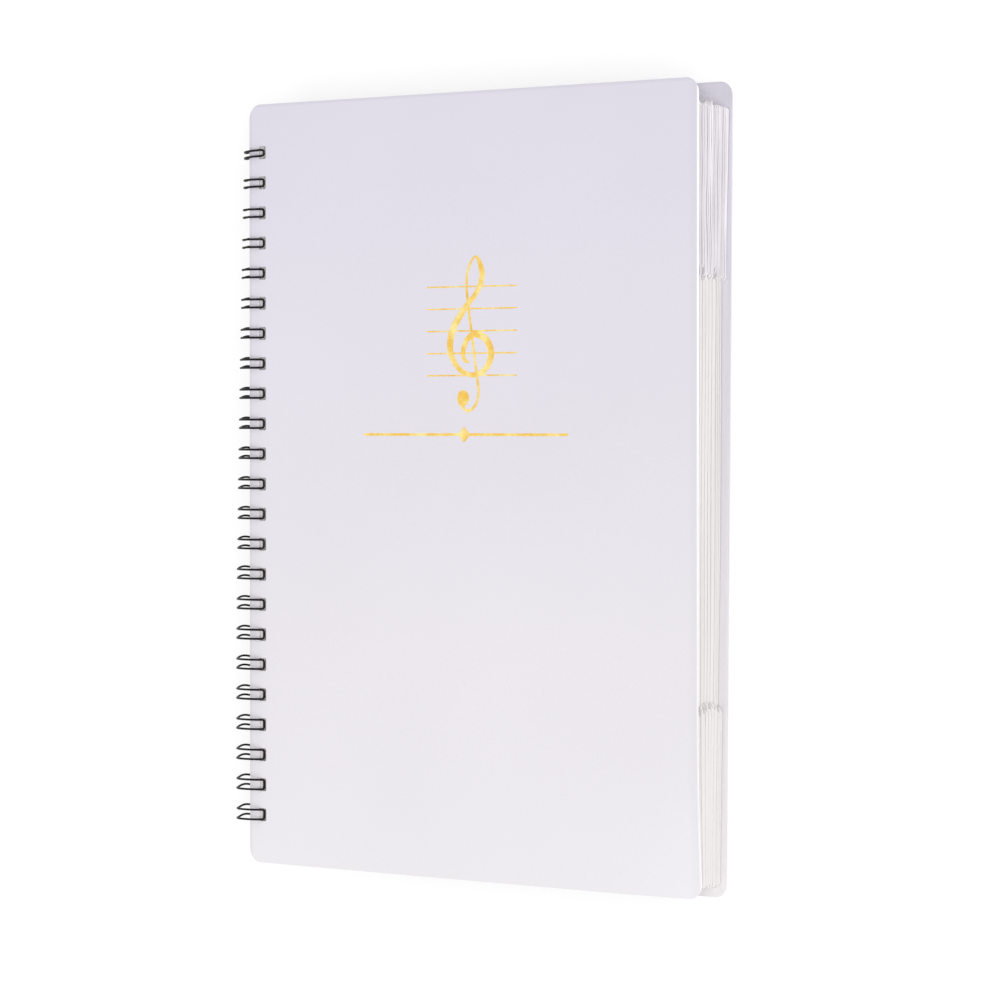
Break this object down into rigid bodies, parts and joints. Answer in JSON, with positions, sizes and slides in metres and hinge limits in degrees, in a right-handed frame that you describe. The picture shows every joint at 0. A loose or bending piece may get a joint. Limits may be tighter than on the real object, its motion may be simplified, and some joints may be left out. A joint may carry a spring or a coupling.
{
  "type": "music folder",
  "caption": "Wire-bound music folder with translucent plastic covers, clear pocket leaves and a gold foil clef, lying closed on its back cover.",
  "frame": {"origin": "on the surface that the closed folder lies on, under the middle of the front cover", "axes": "+X from the spine to the fore-edge, +Y to the head of the page, +Z out of the front cover"},
  "size_m": [0.2529, 0.3205, 0.0222],
  "materials": {
    "cover_plastic": "satin frosted polypropylene sheet, faint lavender white, slightly translucent",
    "pocket_film": "clear glossy pocket film over white leaves",
    "black_wire": "satin black nylon-coated steel wire",
    "gold_foil": "hot-stamped gold foil with a fine sparkle"
  },
  "bodies": {
    "pages_and_wire": {"pocket_pages": "pocket_film", "binding_wire": "black_wire"},
    "front": {"front_cover": "cover_plastic", "foil_clef": "gold_foil", "foil_divider": "gold_foil"},
    "back": {"back_cover": "cover_plastic"}
  },
  "joints": [
    {"name": "front_cover_hinge", "type": "hinge", "parent": "pages_and_wire", "child": "front", "pos_m": [-0.1193, 0, 0.01115], "axis": [-0.0086, -1, 0], "range_deg": [0, 180]},
    {"name": "back_cover_hinge", "type": "hinge", "parent": "pages_and_wire", "child": "back", "pos_m": [-0.1193, 0, 0.01115], "axis": [0.0086, 1, 0], "range_deg": [0, 180]}
  ]
}
